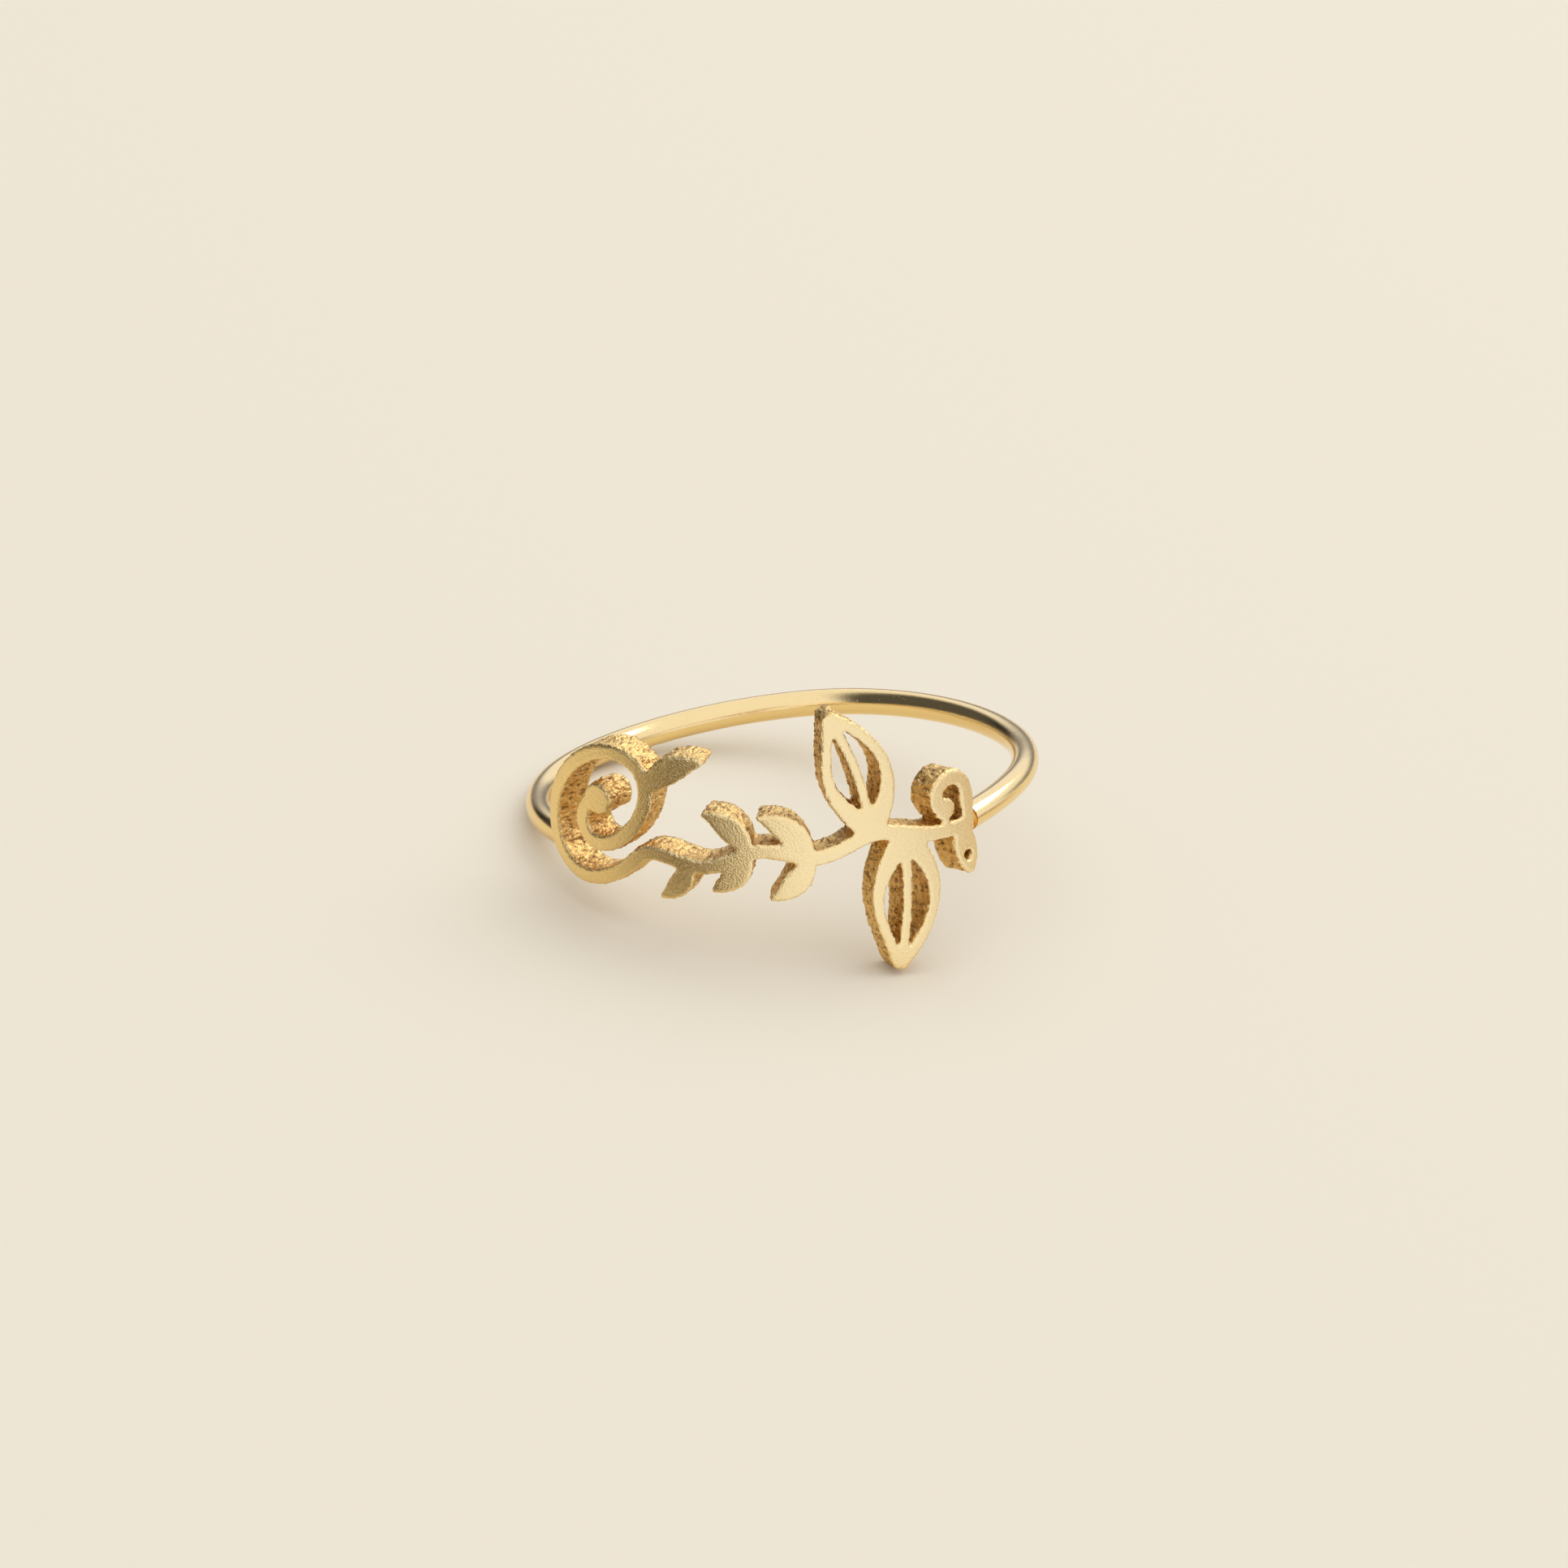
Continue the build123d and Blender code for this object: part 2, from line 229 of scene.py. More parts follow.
class StudioSettings(PropertyGroup):
    """Floor, lights and camera."""

    floor: colour("Floor", "Colour of the paper floor", (0.82, 0.765, 0.66))
    # Dark, bright and dim cards: reflections painted on the floor that only glossy rays see; the bright one
    # glows
    painted_dark_reflection: colour("Dark card", "Card at the left that only the gold shows", (0.11, 0.08, 0.045))
    painted_bright_reflection: colour("Bright card", "Card in front that only the gold shows", (0.64, 0.72, 1.0))
    painted_dim_reflection: colour("Dim card", "Card at the right that only the gold shows", (0.50, 0.38, 0.36))
    painted_reflection_glow: FloatProperty(
        name="Painted reflection glow", description="Glow of the bright card", default=1.46, min=0
    )
    sky: colour("Sky", "Colour of the soft light from all round", (1.0, 0.985, 0.955))
    gleam: colour("Gleam", "Colour of the sky and the soft light in the gold's mirror", (0.77, 0.81, 1.0))
    gleam_strength: FloatProperty(
        name="Gleam strength", description="Strength of the mirrored sky", default=1.3, min=0
    )
    sky_strength: FloatProperty(name="Sky strength", description="Strength of the sky", default=0.95, min=0)
    left_share: FloatProperty(
        name="Left share", description="Strength of the mirrored sky at the left", default=0.09, min=0
    )
    rear_share: FloatProperty(
        name="Rear share", description="Strength of the mirrored sky low at the back", default=0.26, min=0
    )
    front_share: FloatProperty(
        name="Front share", description="Strength of the mirrored sky low at the front", default=1.35, min=0
    )
    right_share: FloatProperty(
        name="Right share", description="Strength of the mirrored sky low at the right", default=0.5, min=0
    )
    key_power: FloatProperty(
        name="Key power", description="Power of the large soft light", default=0.5, min=0, unit="POWER"
    )
    gleam_glow: FloatProperty(
        name="Gleam glow", description="Brightness of the mirrored light", default=6.0, min=0
    )
    gleam_size: FloatProperty(
        name="Gleam size", description="Side of the mirrored light", default=0.3, min=0.01, unit="LENGTH"
    )
    key_size: FloatProperty(
        name="Key size", description="Side of the large soft light", default=0.5, min=0.01, unit="LENGTH"
    )
    azimuth: FloatProperty(
        name="Azimuth",
        description="Turn of the camera to the right of the front",
        default=radians(3.454),
        subtype="ANGLE",
    )
    elevation: FloatProperty(
        name="Elevation",
        description="Height of the camera over the floor, as an angle",
        default=radians(24.396),
        subtype="ANGLE",
    )
    roll: FloatProperty(
        name="Roll", description="Turn of the picture", default=radians(-7.771), subtype="ANGLE"
    )
    distance: FloatProperty(
        name="Distance", description="Camera to the ring's centre", default=0.32, unit="LENGTH"
    )
    view_width: FloatProperty(
        name="View width",
        description="Width of the picture at the ring's centre",
        default=0.05854,
        unit="LENGTH",
        precision=4,
    )


def polar(turn, reach):
    """Place in the ring's frame, at a turn in degrees to the right of the front's middle."""
    return Vector((reach * sin(radians(turn)), -reach * cos(radians(turn)), 0))


def settings(context):
    """The three groups of settings."""
    scene = context.scene
    return scene.ring_sizes, scene.ring_colours, scene.ring_studio


def add_piece(name, mesh):
    """Links a mesh as an object at the origin."""
    piece = bpy.data.objects.new(name, mesh)
    bpy.context.scene.collection.objects.link(piece)
    return piece


def finish_piece(piece):
    """Ties a finished piece to the body and hides the model's node that it stands for."""
    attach(piece, BODY)
    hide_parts(NODE)


# Geometry Nodes


def new_tree(name, inputs):
    """A geometry tree with its named inputs, each given as socket type, name and default."""
    tree = bpy.data.node_groups.new(name, "GeometryNodeTree")
    tree.interface.new_socket("Geometry", in_out="INPUT", socket_type="NodeSocketGeometry")
    for kind, title, default in inputs:
        socket = tree.interface.new_socket(title, in_out="INPUT", socket_type="NodeSocket" + kind)
        if default is not None:
            socket.default_value = default
    tree.interface.new_socket("Geometry", in_out="OUTPUT", socket_type="NodeSocketGeometry")
    return tree, tree.nodes.new("NodeGroupInput"), tree.nodes.new("NodeGroupOutput")


def math_node(tree, operation, first, second=None, third=None):
    """A Math node with sockets or numbers as its inputs; gives its output."""
    node = tree.nodes.new("ShaderNodeMath")
    node.operation = operation
    for socket, value in zip(node.inputs, (first, second, third)):
        if value is None:
            continue
        if isinstance(value, bpy.types.NodeSocket):
            tree.links.new(value, socket)
        else:
            socket.default_value = value
    return node.outputs[0]


def noise_node(tree, vector, scale, detail, seed=None, roughness=0.5):
    """A Noise Texture; gives its factor."""
    node = tree.nodes.new("ShaderNodeTexNoise")
    node.noise_dimensions = "3D" if seed is None else "4D"
    tree.links.new(vector, node.inputs["Vector"])
    for title, value in (("Scale", scale), ("W", seed), ("Detail", detail), ("Roughness", roughness)):
        if isinstance(value, bpy.types.NodeSocket):
            tree.links.new(value, node.inputs[title])
        elif value is not None:
            node.inputs[title].default_value = value
    return node.outputs[0]


def end_tree(tree, geometry, material, output):
    """Smooth shading, realized instances and the material, as the last nodes of a tree."""
    smooth = tree.nodes.new("GeometryNodeSetShadeSmooth")
    realize = tree.nodes.new("GeometryNodeRealizeInstances")
    paint = tree.nodes.new("GeometryNodeSetMaterial")
    tree.links.new(geometry, smooth.inputs["Geometry"])
    tree.links.new(smooth.outputs["Geometry"], realize.inputs["Geometry"])
    tree.links.new(realize.outputs["Geometry"], paint.inputs["Geometry"])
    tree.links.new(material, paint.inputs["Material"])
    tree.links.new(paint.outputs["Geometry"], output.inputs["Geometry"])


def pushed(tree, geometry, amount):
    """Geometry with its points moved along their normals."""
    normal = tree.nodes.new("GeometryNodeInputNormal")
    scale = tree.nodes.new("ShaderNodeVectorMath")
    scale.operation = "SCALE"
    tree.links.new(normal.outputs[0], scale.inputs["Vector"])
    tree.links.new(amount, scale.inputs["Scale"])
    push = tree.nodes.new("GeometryNodeSetPosition")
    tree.links.new(geometry, push.inputs["Geometry"])
    tree.links.new(scale.outputs["Vector"], push.inputs["Offset"])
    return push.outputs["Geometry"]


def applied(piece, tree, values):
    """Runs a tree on a piece and turns the result into the piece's plain mesh."""
    modifier = piece.modifiers.new(tree.name, "NODES")
    modifier.node_group = tree
    for item in tree.interface.items_tree:
        if item.in_out == "INPUT" and item.name in values:
            modifier[item.identifier] = values[item.name]
    graph = bpy.context.evaluated_depsgraph_get()
    mesh = bpy.data.meshes.new_from_object(piece.evaluated_get(graph), depsgraph=graph)
    piece.modifiers.remove(modifier)
    piece.data = mesh
    if not mesh.polygons:
        raise RuntimeError(f"{tree.name} made no faces")
    return piece


def wire_tree():
    """Tree that draws round wire along a line and lets its surface wander a little."""
    inputs = (
        ("Float", "Radius", 0.5 * MM),
        ("Int", "Sides", 32),
        ("Float", "Wander", 0.01 * MM),
        ("Float", "Seed", 1.0),
        ("Material", "Material", None),
    )
    tree, start, output = new_tree("drawn wire", inputs)
    line = tree.nodes.new("GeometryNodeMeshToCurve")
    profile = tree.nodes.new("GeometryNodeCurvePrimitiveCircle")
    sweep = tree.nodes.new("GeometryNodeCurveToMesh")
    place = tree.nodes.new("GeometryNodeInputPosition")
    sweep.inputs["Fill Caps"].default_value = True
    tree.links.new(start.outputs["Geometry"], line.inputs["Mesh"])
    tree.links.new(start.outputs["Sides"], profile.inputs["Resolution"])
    tree.links.new(start.outputs["Radius"], profile.inputs["Radius"])
    tree.links.new(line.outputs["Curve"], sweep.inputs["Curve"])
    tree.links.new(profile.outputs["Curve"], sweep.inputs["Profile Curve"])
    slow = noise_node(tree, place.outputs["Position"], WANDER_SCALE, detail=2.0, seed=start.outputs["Seed"])
    amount = math_node(tree, "MULTIPLY", math_node(tree, "SUBTRACT", slow, 0.5), start.outputs["Wander"])
    end_tree(tree, pushed(tree, sweep.outputs["Mesh"], amount), start.outputs["Material"], output)
    return tree


def cast_tree():
    """Tree that raises cast ridges and grain where the wall attribute is above nought."""
    inputs = (
        ("Float", "Ridge Depth", 0.07 * MM),
        ("Float", "Ridge Scale", 5.0),
        ("Float", "Grain Depth", 0.03 * MM),
        ("Float", "Grain Scale", 9.0),
        ("Float", "Seed", 1.0),
        ("Material", "Material", None),
    )
    tree, start, output = new_tree("cast walls", inputs)
    wall = tree.nodes.new("GeometryNodeInputNamedAttribute")
    wall.inputs["Name"].default_value = "wall"
    cast = tree.nodes.new("GeometryNodeInputNamedAttribute")
    cast.data_type = "FLOAT_VECTOR"
    cast.inputs["Name"].default_value = "cast"
    place = tree.nodes.new("GeometryNodeInputPosition")
    millimetres = tree.nodes.new("ShaderNodeVectorMath")
    millimetres.operation = "SCALE"
    millimetres.inputs["Scale"].default_value = 1 / MM
    tree.links.new(place.outputs["Position"], millimetres.inputs["Vector"])
    seed = start.outputs["Seed"]
    along = cast.outputs["Attribute"]
    ridge = noise_node(tree, along, start.outputs["Ridge Scale"], detail=3.0, seed=seed, roughness=0.62)
    grain = noise_node(tree, millimetres.outputs[0], start.outputs["Grain Scale"], detail=2.0, seed=seed)
    ridge_rise, grain_rise = (
        math_node(tree, "MULTIPLY_ADD", value, NOISE_SPREAD, -NOISE_SPREAD / 2) for value in (ridge, grain)
    )
    raised = math_node(tree, "MULTIPLY", ridge_rise, start.outputs["Ridge Depth"])
    grained = math_node(tree, "MULTIPLY", grain_rise, start.outputs["Grain Depth"])
    amount = math_node(tree, "MULTIPLY", math_node(tree, "ADD", raised, grained), wall.outputs["Attribute"])
    end_tree(tree, pushed(tree, start.outputs["Geometry"], amount), start.outputs["Material"], output)
    return tree


# Finishes


def shader_group(name, inputs, outputs):
    """A shader group with its sockets, each given as socket type, name and default."""
    group = bpy.data.node_groups.new(name, "ShaderNodeTree")
    for kind, title, default in inputs:
        socket = group.interface.new_socket(title, in_out="INPUT", socket_type="NodeSocket" + kind)
        if default is not None:
            socket.default_value = default
    for title in outputs:
        group.interface.new_socket(title, in_out="OUTPUT", socket_type="NodeSocketFloat")
    return group, group.nodes.new("NodeGroupInput"), group.nodes.new("NodeGroupOutput")


def shared_group(name, make):
    """A shader group that is made once and used by each material."""
    return bpy.data.node_groups.get(name) or make()


def ramped(tree, value, low, high):
    """Value stretched so that low gives 0 and high gives 1, smoothly and within those."""
    node = tree.nodes.new("ShaderNodeMapRange")
    node.interpolation_type = "SMOOTHSTEP"
    tree.links.new(value, node.inputs["Value"])
    node.inputs["From Min"].default_value = low
    node.inputs["From Max"].default_value = high
    return node.outputs["Result"]


def polish_group():
    """Fine marks that polishing leaves: hairlines, soft ripples and a few specks."""
    inputs = (("Vector", "Vector", None), ("Float", "Hairline Scale", 9.0), ("Float", "Speck Scale", 16.0))
    group, start, output = shader_group("polish marks", inputs, ("Height", "Specks", "Cloud", "Sand"))
    stretch = group.nodes.new("ShaderNodeVectorMath")
    stretch.operation = "MULTIPLY"
    stretch.inputs[1].default_value = (0.6, 0.6, 3.0)
    vector = start.outputs["Vector"]
    group.links.new(vector, stretch.inputs[0])
    hairline_scale = start.outputs["Hairline Scale"]
    hairlines = noise_node(group, stretch.outputs[0], hairline_scale, detail=6.0, roughness=0.7)
    speck = noise_node(group, vector, start.outputs["Speck Scale"], detail=1.0)
    cloud = noise_node(group, vector, scale=1.1, detail=3.0)
    sand = noise_node(group, vector, scale=15.0, detail=2.0, roughness=0.6)
    specks = ramped(group, speck, *SPECK_RISE)
    height = math_node(group, "ADD", hairlines, math_node(group, "MULTIPLY", specks, SPECK_HEIGHT))
    group.links.new(height, output.inputs["Height"])
    group.links.new(specks, output.inputs["Specks"])
    group.links.new(cloud, output.inputs["Cloud"])
    group.links.new(sand, output.inputs["Sand"])
    return group


def cast_group():
    """Skin of cast metal: wrinkles along the depth, pits between them with painted shade and dark oxide,
    bright specks on the crests painted as glints, and fine sand.
    """
    inputs = (
        ("Vector", "Vector", None),
        ("Vector", "Along", None),
        ("Float", "Wrinkle Scale", 6.0),
        ("Float", "Sand Scale", 22.0),
    )
    group, start, output = shader_group("cast skin", inputs, ("Height", "Pits", "Sparks"))
    along, wrinkle_scale = start.outputs["Along"], start.outputs["Wrinkle Scale"]
    vector, sand_scale = start.outputs["Vector"], start.outputs["Sand Scale"]
    wrinkle = noise_node(group, along, wrinkle_scale, detail=3.0, roughness=0.58)
    sand = noise_node(group, vector, sand_scale, detail=3.0, roughness=0.6)
    pit_shade_and_oxide = ramped(group, wrinkle, *PIT_SHADE_AND_OXIDE_RISE)
    crests = ramped(group, wrinkle, *CREST_GLINT_RISE)
    crest_glints = math_node(group, "MULTIPLY", crests, ramped(group, sand, *SAND_GLINT_RISE))
    wrinkled = math_node(group, "MULTIPLY", wrinkle, WRINKLE_HEIGHT)
    height = math_node(group, "MULTIPLY_ADD", sand, SAND_HEIGHT, wrinkled)
    group.links.new(height, output.inputs["Height"])
    group.links.new(pit_shade_and_oxide, output.inputs["Pits"])
    group.links.new(crest_glints, output.inputs["Sparks"])
    return group


def mixed(tree, factor, first, second):
    """Colour mixed from first to second; each is a socket or a colour."""
    node = tree.nodes.new("ShaderNodeMix")
    node.data_type = "RGBA"
    tree.links.new(factor, node.inputs["Factor"])
    for socket, value in ((node.inputs[6], first), (node.inputs[7], second)):
        if isinstance(value, bpy.types.NodeSocket):
            tree.links.new(value, socket)
        else:
            socket.default_value = (*value, 1.0)
    return node.outputs[2]


def millimetre_coordinates(tree):
    """Object coordinates in millimetres."""
    place = tree.nodes.new("ShaderNodeTexCoord")
    mapping = tree.nodes.new("ShaderNodeMapping")
    mapping.inputs["Scale"].default_value = (1 / MM, 1 / MM, 1 / MM)
    tree.links.new(place.outputs["Object"], mapping.inputs["Vector"])
    return mapping.outputs["Vector"]


def placed_group(tree, group, vector):
    """A group node that reads the given coordinates."""
    node = tree.nodes.new("ShaderNodeGroup")
    node.node_tree = group
    tree.links.new(vector, node.inputs["Vector"])
    return node


def metal(name):
    """A new material whose Principled BSDF is bare metal."""
    material = bpy.data.materials.new(name)
    material.use_nodes = True
    shader = material.node_tree.nodes["Principled BSDF"]
    shader.inputs["Metallic"].default_value = 1.0
    return material, material.node_tree, shader


def bumped(tree, height, distance, shader):
    """Height joined to the shader's normal through a Bump node, with its distance in metres."""
    bump = tree.nodes.new("ShaderNodeBump")
    bump.inputs["Distance"].default_value = distance
    bump.inputs["Strength"].default_value = 1.0
    tree.links.new(height, bump.inputs["Height"])
    tree.links.new(bump.outputs["Normal"], shader.inputs["Normal"])


def wire_gold(colours, marks):
    """Polished drawn wire."""
    material, tree, shader = metal("wire gold")
    polish = placed_group(tree, marks, millimetre_coordinates(tree))
    shade = [CLOUD_SHADE * part for part in colours.face]
    tree.links.new(mixed(tree, polish.outputs["Cloud"], shade, colours.face), shader.inputs["Base Color"])
    specks = polish.outputs["Specks"]
    rough = math_node(tree, "MULTIPLY_ADD", specks, SPECK_ROUGHNESS, colours.wire_roughness)
    tree.links.new(rough, shader.inputs["Roughness"])
    bumped(tree, polish.outputs["Height"], WIRE_BUMP, shader)
    return material


def front_gold(colours, marks, skin):
    """Polished face and rough cast walls, told apart by the wall attribute."""
    material, tree, shader = metal("front gold")
    vector = millimetre_coordinates(tree)
    polish = placed_group(tree, marks, vector)
    cast = placed_group(tree, skin, vector)
    wall, along = (tree.nodes.new("ShaderNodeAttribute") for _ in range(2))
    wall.attribute_name = "wall"
    along.attribute_name = "cast"
    tree.links.new(along.outputs["Vector"], cast.inputs["Along"])
    share = wall.outputs["Fac"]
    # Walls blend to the darker, more orange gold: painted shade of the bounces inside the piercings
    tone = mixed(tree, share, colours.face, colours.wall)
    # Pits darkened with painted shade and dark oxide
    pit_shade_and_oxide = math_node(tree, "MULTIPLY", cast.outputs["Pits"], share)
    pit_shaded_and_oxidised = mixed(tree, pit_shade_and_oxide, tone, colours.pit_shade_and_oxide_colour)
    # Bright specks on the crests: the face's paler gold as a painted glint, with less roughness
    crest_glints = math_node(tree, "MULTIPLY", cast.outputs["Sparks"], share)
    tree.links.new(mixed(tree, crest_glints, pit_shaded_and_oxidised, colours.face), shader.inputs["Base Color"])
    gain = colours.wall_roughness - colours.face_roughness
    rough = math_node(tree, "MULTIPLY_ADD", share, gain, colours.face_roughness)
    cloudy = math_node(tree, "MULTIPLY_ADD", polish.outputs["Cloud"], CLOUD_ROUGHNESS, rough)
    shiny = math_node(tree, "MULTIPLY_ADD", crest_glints, SPARK_ROUGHNESS, cloudy)
    tree.links.new(shiny, shader.inputs["Roughness"])
    sanded = math_node(tree, "MULTIPLY", polish.outputs["Sand"], FACE_SAND_HEIGHT)
    fine = math_node(tree, "MULTIPLY_ADD", polish.outputs["Height"], FACE_POLISH_HEIGHT, sanded)
    coarse = math_node(tree, "MULTIPLY", cast.outputs["Height"], share)
    bumped(tree, math_node(tree, "ADD", fine, coarse), FRONT_BUMP, shader)
    return material


# Band


def band_corners(sizes):
    """Corners of the wire's middle line: behind the front at the left, against its end at the right."""
    half_turn = degrees(sizes.half_turn)
    ring_reach = BACK_REACH + sizes.wire / 2
    face_reach = BACK_REACH + sizes.depth
    first = -half_turn - LEFT_BEND_PAST
    step = (2 * half_turn + LEFT_BEND_PAST + RIGHT_BEND_PAST - 360) / (len(BAND_SHARES) - 1)
    corners = [polar(-LEFT_END_TURN * half_turn, BACK_REACH - LEFT_END_DEPTH * sizes.wire)]
    for index, share in enumerate(BAND_SHARES):
        corners.append(polar(first + index * step, share * ring_reach / cos(radians(step / 2))))
    corners.append(polar(RIGHT_END_TURN * half_turn, face_reach - RIGHT_END_DEPTH * sizes.wire))
    return corners


def smooth_line(corners, steps):
    """Points of a smooth line that bends at each corner and is straight at both its ends."""
    middles = [(before + after) / 2 for before, after in zip(corners, corners[1:])]
    shares = [index / steps for index in range(steps)]
    points = [corners[0].lerp(middles[0], share) for share in shares]
    for start, corner, end in zip(middles, corners[1:], middles[1:]):
        points += [start.lerp(corner, share).lerp(corner.lerp(end, share), share) for share in shares]
    points += [middles[-1].lerp(corners[-1], share) for share in shares]
    return points


def wire_line(sizes):
    """Middle line of the wire, from behind the front at the left to its end at the right."""
    right_stop = degrees(sizes.half_turn) + WIRE_STOP_PAST
    points = smooth_line(band_corners(sizes), LINE_STEPS)
    return [p for p in points if degrees(atan2(p.x, -p.y)) > right_stop or p.x < 0 or p.y > 0]


class RING_OT_band(Operator):
    """Draws the round wire of the band"""

    bl_idname = "ring.band"
    bl_label = "Band"

    def execute(self, context):
        sizes, colours, _ = settings(context)
        line = bpy.data.meshes.new("band line")
        places = [FROM_RING @ point for point in wire_line(sizes)]
        line.from_pydata(places, [(i, i + 1) for i in range(len(places) - 1)], [])
        band = add_piece("wire_band", line)
        values = {
            "Radius": (sizes.wire / 2 + RADIUS_GAIN) * MM,
            "Sides": sizes.sides,
            "Wander": sizes.wander * MM,
            "Seed": float(sizes.seed),
            "Material": wire_gold(colours, shared_group("polish marks", polish_group)),
        }
        finish_piece(applied(band, wire_tree(), values))
        return {"FINISHED"}


# Front


def cut_front(sizes):
    """The model's front alone, in the ring's frame: the node's merged mesh, cut off past both ends."""
    form = bmesh.new()
    form.from_mesh(frame["nodes"][NODE].data)
    form.transform(FROM_RING.inverted())
    bmesh.ops.remove_doubles(form, verts=form.verts, dist=MERGE_GAP)
    stop = degrees(sizes.half_turn) + CUT_PAST
    for side in (-1, 1):
        away = side * Vector((cos(radians(stop)), side * sin(radians(stop)), 0))
        everything = form.verts[:] + form.edges[:] + form.faces[:]
        bmesh.ops.bisect_plane(form, geom=everything, plane_co=(0, 0, 0), plane_no=away, clear_outer=True)
        bmesh.ops.holes_fill(form, edges=[edge for edge in form.edges if edge.is_boundary])
    bmesh.ops.triangulate(form, faces=form.faces)
    mesh = bpy.data.meshes.new("front")
    form.to_mesh(mesh)
    form.free()
    return mesh


def even_mesh(piece, sizes):
    """Piece turned into even small faces, with its edges a little rounded."""
    remesh = piece.modifiers.new("even", "REMESH")
    remesh.mode = "VOXEL"
    remesh.voxel_size = sizes.mesh_step
    smooth = piece.modifiers.new("rounded", "SMOOTH")
    smooth.factor = ROUNDING
    smooth.iterations = ROUNDING_PASSES
    graph = bpy.context.evaluated_depsgraph_get()
    mesh = bpy.data.meshes.new_from_object(piece.evaluated_get(graph), depsgraph=graph)
    piece.modifiers.clear()
    piece.data = mesh
    return mesh


def numbers(items, name, width):
    """A property of many mesh items as an array with a row for each."""
    values = np.empty(len(items) * width, np.float32)
    items.foreach_get(name, values)
    return values.reshape(-1, width).astype(float)


def gap_to_line(places, line):
    """Distance of each place to the nearest point of a line."""
    nearest = np.full(len(places), np.inf)
    for point in line:
        nearest = np.minimum(nearest, ((places - np.array(point)) ** 2).sum(1))
    return np.sqrt(nearest)


def smoothed(value, low, high):
    """0 below low, 1 above high and a smooth rise between."""
    share = np.clip((value - low) / (high - low), 0, 1)
    return share * share * (3 - 2 * share)


def true_front(mesh, sizes):
    """Sets face and back on their true radii, and marks the walls and their cast coordinates."""
    places = numbers(mesh.vertices, "co", 3)
    normals = numbers(mesh.vertices, "normal", 3)
    reach = np.hypot(places[:, 0], places[:, 1])
    outward = places[:, :2] / reach[:, None]
    facing = (normals[:, :2] * outward).sum(1)
    face_reach = BACK_REACH + sizes.depth
    on_face = (facing > SQUARELY) & (abs(reach - face_reach) < NEAR)
    on_back = (facing < -SQUARELY) & (abs(reach - BACK_REACH) < NEAR)
    trued = np.where(on_face, face_reach, np.where(on_back, BACK_REACH, reach))
    places[:, :2] = outward * trued[:, None]
    mesh.vertices.foreach_set("co", places.astype(np.float32).ravel())
    turn = np.degrees(np.arctan2(places[:, 0], -places[:, 1]))
    at_wire = 1 - smoothed(gap_to_line(places, wire_line(sizes)) / sizes.wire, *SOLDER_FALL)
    solder = at_wire * smoothed(face_reach - reach, *SOLDER_DEPTH_RISE)
    face_rim = FACE_RIM_SHARE + (1 - FACE_RIM_SHARE) * smoothed(face_reach - reach, *RIM_RISE)
    back_rim = BACK_RIM_SHARE + (1 - BACK_RIM_SHARE) * smoothed(reach - BACK_REACH, *RIM_RISE)
    # Besides the cast skin, the wall share blends in the walls' darker gold, a painted shade
    wall = (1 - smoothed(abs(facing), *FACING_FALL)) * face_rim * back_rim * (1 - solder)
    stretch = sizes.ridge_width / sizes.ridge_length
    cast = np.column_stack([radians(1) * turn * face_reach, places[:, 2], stretch * reach])
    for name, kind, values in (("wall", "FLOAT", wall), ("cast", "FLOAT_VECTOR", cast)):
        layer = mesh.attributes.new(name, kind, "POINT")
        field = "value" if kind == "FLOAT" else "vector"
        layer.data.foreach_set(field, values.astype(np.float32).ravel())


class RING_OT_front(Operator):
    """Makes the pierced vine front with its cast side walls and its solder joints"""

    bl_idname = "ring.front"
    bl_label = "Vine front"

    def execute(self, context):
        sizes, colours, _ = settings(context)
        front = add_piece("vine_front", cut_front(sizes))
        mesh = even_mesh(front, sizes)
        true_front(mesh, sizes)
        mesh.transform(FROM_RING)
        marks = shared_group("polish marks", polish_group)
        skin = shared_group("cast skin", cast_group)
        values = {
            "Ridge Depth": sizes.ridge_depth * MM,
            "Ridge Scale": 1 / sizes.ridge_width,
            "Grain Depth": sizes.grain_depth * MM,
            "Grain Scale": 1 / sizes.grain_size,
            "Seed": float(sizes.seed),
            "Material": front_gold(colours, marks, skin),
        }
        finish_piece(applied(front, cast_tree(), values))
        return {"FINISHED"}


# Studio


def flat_material(name, base):
    """A plain matt material."""
    material = bpy.data.materials.new(name)
    material.use_nodes = True
    shader = material.node_tree.nodes["Principled BSDF"]
    shader.inputs["Base Color"].default_value = (*base, 1.0)
    shader.inputs["Roughness"].default_value = 0.9
    shader.inputs["Specular IOR Level"].default_value = 0.15
    return material


def add_card(name, corners, material):
    """A flat staged card with four corners."""
    mesh = bpy.data.meshes.new(name)
    mesh.from_pydata(corners, [], [(0, 1, 2, 3)])
    mesh.materials.append(material)
    card = add_piece(name, mesh)
    return card


